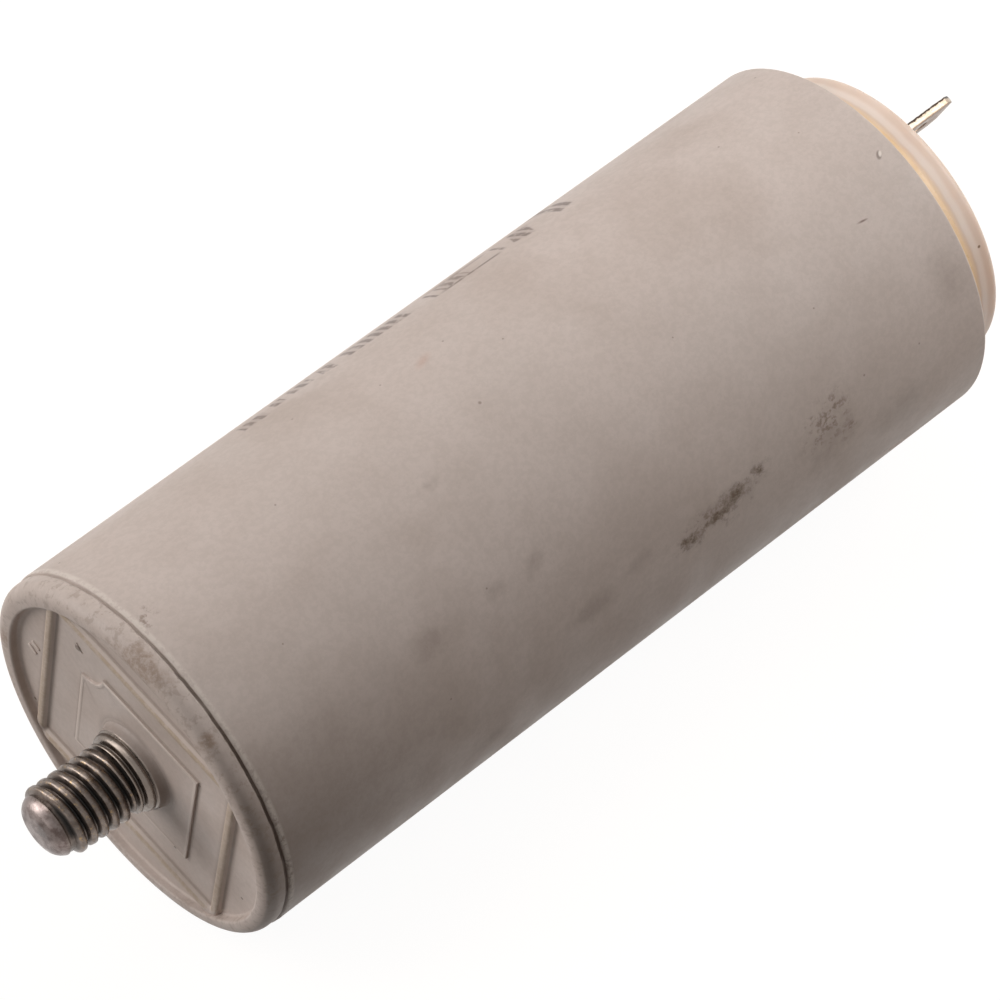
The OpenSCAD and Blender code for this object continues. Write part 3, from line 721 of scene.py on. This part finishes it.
def raised_mark(start, end):
    """Short stroke with rounded ends, raised from the floor of the recess."""
    width, height, buried = 0.42, 0.16, 0.1
    start, end = Vector(start), Vector(end)
    middle = (start + end) / 2
    bm = bmesh.new()
    bmesh.ops.create_cube(bm, size=1.0)
    bmesh.ops.scale(bm, vec=((end - start).length + width, width, height + buried), verts=bm.verts[:])
    edge_bevel(bm, [e for e in bm.edges if abs(e.verts[0].co.z - e.verts[1].co.z) > 0.01], width * 0.45, 3)
    edge_bevel(bm, [e for e in bm.edges if all(v.co.z < 0 for v in e.verts)], 0.12, 3)
    turned(bm, math.atan2(end.y - start.y, end.x - start.x))
    return moved(bm, middle.x, middle.y, RECESS_FLOOR + buried - (height + buried) / 2)


def raised_triangle():
    """Small triangle beside the plate's notched corner."""
    bm = bmesh.new()
    bmesh.ops.create_circle(bm, cap_ends=True, segments=3, radius=0.72)
    thickened(bm, 0, 0, -0.20)
    edge_bevel(bm, [e for e in bm.edges if all(v.co.z < -0.1 for v in e.verts)], 0.07, 2)
    return moved(turned(bm, math.radians(100)), 9.2, 8.9, 1.05)


def build_case(finish):
    """Cup with everything that is raised from the floor of its recess."""
    floor_marks = join(
        rib_ring(), raised_plate(), raised_triangle(),
        raised_mark((15.6, -0.09), (14.75, -0.45)), raised_mark((15.2, 1.03), (14.4, 0.79)),
    )
    piece(join(case_cup(), turned(floor_marks, RIB_TURN)), "case_moulding", finish, ["case"])


# Stud


def thread_ridge():
    """One long ridge that winds round the shank and runs out at both ends."""
    steps = 48
    bm = section([
        (SHANK_R, -0.62), (3.34, -0.56, 0.1, 2), (CREST_R, -0.28, 0.15, 3), (CREST_R, 0.28, 0.15, 3),
        (3.34, 0.56, 0.1, 2), (SHANK_R, 0.62),
    ], closed=True)
    spun(bm, int(THREAD_TURNS * steps), turn=360.0 * THREAD_TURNS, climb=THREAD_PITCH / steps)
    bmesh.ops.holes_fill(bm, edges=[e for e in bm.edges if e.is_boundary], sides=0)
    # each end rises out of the shank over a third of a turn
    for v in bm.verts:
        share = (math.atan2(v.co.y, v.co.x) / math.tau) % 1.0
        done = round(v.co.z / THREAD_PITCH - share) + share
        rise = max(0.0, min(1.0, done / 0.35, (THREAD_TURNS - done) / 0.35))
        r = v.co.xy.length
        v.co.xy *= (SHANK_R + (r - SHANK_R) * rise) / r
    turned(bm, math.radians(-150))
    moved(bm, 0, 0, THREAD_START)
    # the crests run out towards the tip and the collar, and are a little uneven
    for v in bm.verts:
        r = v.co.xy.length
        limit = min(CREST_R, 3.05 + max(0.0, v.co.z + 10.2) * 1.3, 3.1 + max(0.0, -1.95 - v.co.z) * 1.6)
        way = Vector((v.co.x / r, v.co.y / r, v.co.z)) * 2.2
        if r > 3.05:
            new = min(r, limit) + 0.04 * noise.noise(way * 1.7) * (limit > 3.5)
            v.co.xy *= new / r
            v.co.z += 0.03 * noise.noise(way * 2.3 + Vector((5, 0, 0)))
    return bm


def build_stud(finish):
    """Domed tip, shank with its thread, two rings, the collar, and the head inside the floor."""
    shank = section([
        (0.0, -11.2), (2.2, -11.12, 0.5, 4), (2.86, -10.74, 0.4, 3), (3.2, -10.28, 0.3, 3),
        (3.36, -9.92, 0.08, 3), (3.24, -9.72), (3.28, -9.4), (3.28, -2.2), (3.5, -2.02, 0.08, 2),
        (3.92, -1.96, 0.1, 3), (3.94, -1.70, 0.1, 3), (3.52, -1.56, 0.06, 2), (3.52, -1.36, 0.06, 2),
        (4.14, -1.24, 0.12, 3), (4.34, -0.92, 0.1, 3), (4.38, -0.54, 0.08, 2), (4.20, -0.46),
        (4.24, -0.38), (4.46, -0.30, 0.06, 2), (4.48, -0.04, 0.08, 3), (4.38, 0.06), (4.38, 3.2),
        (4.2, 3.6), (0.0, 3.6),
    ])
    spun(shank, 96)
    bm = join(shank, thread_ridge())
    # off the axis below the head, and leaning from its foot down
    for v in bm.verts:
        out = max(0.0, LEAN_FOOT - v.co.z)
        v.co += STUD_SHIFT * min(1.0, max(0.0, (2.0 - v.co.z) / 1.5)) + LEAN_WAY * LEAN * out
    head = bmesh.new()
    bmesh.ops.create_cone(head, cap_ends=True, segments=6, radius1=HEAD_R, radius2=HEAD_R, depth=HEAD_H)
    edge_bevel(head, [e for e in head.edges if abs(e.verts[0].co.z - e.verts[1].co.z) < 0.1], 0.35, 2)
    moved(head, 0, 0, INSIDE_FLOOR + HEAD_H / 2)
    piece(join(bm, head), "threaded_stud", finish, ["mounting_stud"], 50)


# Tabs


def sheared(edge):
    """True where a flat side of the upright sheet meets its sheared edge."""
    flats = [abs(face.normal.x) > 0.9 for face in edge.link_faces]
    return len(flats) == 2 and flats[0] != flats[1]


def blade(half, sheet, outer, bend, rise, corner):
    """Upright part of a tab, with a rounded lead-in, a detent hole and a burr along one edge."""
    bm = bmesh.new()
    outline = [
        (-half, bend), (-half, rise - corner), (corner - half, rise),
        (half - corner, rise), (half, rise - corner), (half, bend),
    ]
    verts = [bm.verts.new((outer - sheet, y, z)) for y, z in outline]
    for pair in zip(verts, verts[1:] + verts[:1]):
        bm.edges.new(pair)
    lengthwise = [e for e in bm.edges if abs(e.verts[0].co.y - e.verts[1].co.y) < 0.01]
    bmesh.ops.subdivide_edges(bm, edges=lengthwise, cuts=16)
    upright = Matrix.Rotation(math.radians(90), 4, "Y")
    detent = Matrix.Translation((outer - sheet, 0, rise - DETENT_DROP)) @ upright
    bmesh.ops.create_circle(bm, cap_ends=False, segments=32, radius=DETENT_R, matrix=detent)
    filled(bm, (-1, 0, 0))
    thickened(bm, sheet, 0, 0)
    bmesh.ops.recalc_face_normals(bm, faces=bm.faces[:])
    sides = []
    for e in bm.edges:
        low, high = sorted(v.co.z for v in e.verts)
        if sheared(e) and bend - 0.01 < low <= rise - corner - 0.01 and high > bend + 0.01:
            sides.append(e)
    edge_bevel(bm, sides, 0.10, 2)
    tip = [
        e for e in bm.edges
        if sheared(e) and min(v.co.z for v in e.verts) > rise - 0.3 - 0.01
        and abs(e.verts[0].co.y) < half - corner + 0.05
    ]
    edge_bevel(bm, tip, 0.26, 4)
    for v in bm.verts:
        if v.co.y > half - 0.2 and v.co.x > outer - 0.3 and v.co.z > bend + 0.1:
            v.co.x += 0.05 * noise.noise(v.co * 3.1)
    return bm


def push_tab(second):
    """Blade, bend and riveted foot, stamped from one sheet."""
    half, sheet, outer, bend = 3.15, 0.8, 4.6, 1.3
    bm = blade(half, sheet, outer, bend, rise=7.9, corner=1.2)
    curve = bmesh.new()
    corners = ((-half, 0), (half, 0), (half, sheet), (-half, sheet))
    strip = curve.faces.new([curve.verts.new((outer - bend, y, z)) for y, z in corners])
    swept(curve, [strip], (outer - bend, 0, bend), (0, 1, 0), -90, 10)
    foot = bmesh.new()
    bmesh.ops.create_cone(foot, cap_ends=True, segments=64, radius1=half, radius2=half, depth=sheet)
    tongue = Matrix.LocRotScale(((outer - bend) / 2, 0, 0), None, (outer - bend, 2 * half, sheet))
    bmesh.ops.create_cube(foot, size=1.0, matrix=tongue)
    moved(foot, 0, 0, sheet / 2)
    join(bm, curve, foot)
    turned(bm, math.radians(TAB_TURN - POLE_TURN))
    moved(bm, POLE_R, 0, LID_TOP)
    turned(bm, math.radians(POLE_TURN + 180 if second else POLE_TURN))
    return moved(bm, LID_SHIFT * math.cos(LID_SHIFT_TURN), LID_SHIFT * math.sin(LID_SHIFT_TURN), 0)


def build_tabs(finish):
    """The two push-on tabs, half a turn apart round the lid."""
    piece(push_tab(False), "push_tab_a", finish, ["tab_a"], 30)
    piece(push_tab(True), "push_tab_b", finish, ["tab_b"], 30)


# Solids that keep their shape


def dress_nodes():
    """Gives each solid that keeps its shape its finish."""
    cream = lid_finish()
    amber = moulded_finish("seal_amber_resin", rgb(228, 197, 158), rgb(216, 180, 136), 160.0, 0.3)
    tin = metal_finish("terminal_tinned_brass", rgb(206, 196, 184), rgb(186, 164, 140), 0.28)
    wire = metal_finish("wire_tinned_copper", rgb(196, 176, 160), rgb(182, 132, 104), 0.3)
    zinc = metal_finish("zinc_sprayed", rgb(170, 172, 176), rgb(126, 128, 132), 0.6, 1400.0, 0.00006)
    glass = moulded_finish("sleeve_white_glass", rgb(236, 231, 220), rgb(214, 206, 190), 800.0, 0.6)
    film = moulded_finish("film_metallised", rgb(222, 224, 228), rgb(196, 200, 206), 300.0, 0.3)
    black = moulded_finish("core_black_plastic", rgb(44, 44, 46), rgb(30, 30, 32), 200.0, 0.5)
    tape = moulded_finish("wrap_yellow_tape", rgb(226, 206, 118), rgb(208, 184, 92), 200.0, 0.35)
    fibre = moulded_finish("board_brown_fibre", rgb(164, 124, 84), rgb(136, 98, 62), 350.0, 0.6)
    resin = moulded_finish("resin_amber_cast", rgb(190, 144, 84), rgb(160, 112, 58), 80.0, 0.25)
    looks = {
        "lid": cream, "mouth_seal": amber,
        "rivet_a": tin, "rivet_b": tin, "solder_tag_a": tin, "solder_tag_b": tin,
        "lead_a": wire, "lead_b": wire, "sleeve_a": glass, "sleeve_b": glass,
        "end_spray_top": zinc, "end_spray_bottom": zinc, "solder_joint_a": zinc, "solder_joint_b": zinc,
        "film_winding": film, "winding_core": black, "winding_wrap": tape, "base_insulator": fibre,
        "potting_resin": resin,
    }
    for node, look in looks.items():
        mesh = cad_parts[node].data
        if not mesh.materials:
            mesh.materials.append(look)
        for index in range(len(mesh.materials)):
            mesh.materials[index] = look


# Stage, light and camera


def stage_floor():
    """Pale floor that shows as near white and keeps the object's shadow."""
    bm = bmesh.new()
    bmesh.ops.create_grid(bm, x_segments=8, y_segments=8, size=3.0)
    mesh = bpy.data.meshes.new("pale_floor")
    bm.to_mesh(mesh)
    bm.free()
    mesh.transform(Matrix.Translation((MIDDLE.x, 0, -CASE_R / 1000)))
    floor = bpy.data.objects.new("pale_floor", mesh)
    scene.collection.objects.link(floor)
    f = Finish("floor_pale", Base_Color=(0.13, 0.105, 0.085, 1), Roughness=0.9, Specular_IOR_Level=0.0)
    f.set("Emission_Color", (1, 1, 1, 1))
    f.set("Emission_Strength", f.times(f.seen(), 0.945))
    mesh.materials.append(f.material)


def stage_world():
    """Room that shows white and adds only a little light."""
    world = bpy.data.worlds.new("pale_room")
    scene.world = world
    world.use_nodes = True
    room = Nodes(world.node_tree)
    back = room.tree.nodes["Background"]
    level = room.node("ShaderNodeMapRange", {0: room.seen(), 3: 0.03, 4: 1.0})
    room.feed(back.inputs["Strength"], level.outputs[0])
    room.feed(back.inputs["Color"], (1, 1, 1, 1))


def soft_box(name, way, reach, size, power):
    """Lamp at a distance in the given direction from the middle of the object, facing it."""
    data = bpy.data.lights.new(name, "AREA")
    data.shape = "RECTANGLE"
    data.size = data.size_y = size
    data.energy = power
    made = bpy.data.objects.new(name, data)
    scene.collection.objects.link(made)
    way = Vector(way).normalized()
    made.location = MIDDLE + way * reach
    made.rotation_euler = way.to_track_quat("Z", "Y").to_euler()
    made.visible_camera = False


def stage_lamps():
    """Large soft boxes round the object, each (degrees round, degrees up, power), and two small ones."""
    boxes = {
        "side_low_box": (135, 8, 2.57), "side_box": (135, 30, 2.55), "side_high_box": (135, 60, 1.98),
        "back_box": (45, 30, 1.50), "back_high_box": (45, 60, 1.16), "stud_box": (180, 8, 0.83),
    }
    for name, (round_it, height, power) in boxes.items():
        level, rise = math.radians(round_it), math.radians(height)
        way = (math.cos(level) * math.cos(rise), math.sin(level) * math.cos(rise), math.sin(rise))
        soft_box(name, way, 0.9, 0.5, power)
    soft_box("lid_box", (0.27, -0.06, 0.18), 0.330, 0.18, 0.49)
    soft_box("lid_front_box", (0.20, -0.15, 0.10), 0.269, 0.18, 0.18)


def stage_camera():
    """Camera at the photograph's viewing angle, fitted to the end circles and side lines of the case."""
    data = bpy.data.cameras.new("photo_camera")
    data.sensor_width = 36.0
    data.lens = 182.511
    data.clip_start, data.clip_end = 0.01, 20.0
    made = bpy.data.objects.new("photo_camera", data)
    scene.collection.objects.link(made)
    right, up, back = (0.73611, -0.67686, 0.0), (0.54308, 0.59061, 0.59686), (-0.40400, -0.43936, 0.80234)
    turn = Matrix((right, up, back)).transposed().to_4x4()
    made.matrix_world = Matrix.Translation((-0.153057, -0.217903, 0.396529)) @ turn
    scene.camera = made


build_case(CaseFinish().material)
build_stud(steel_finish())
build_tabs(tab_finish())
dress_nodes()
stage_floor()
stage_world()
stage_lamps()
stage_camera()
scene.view_settings.view_transform = "Standard"
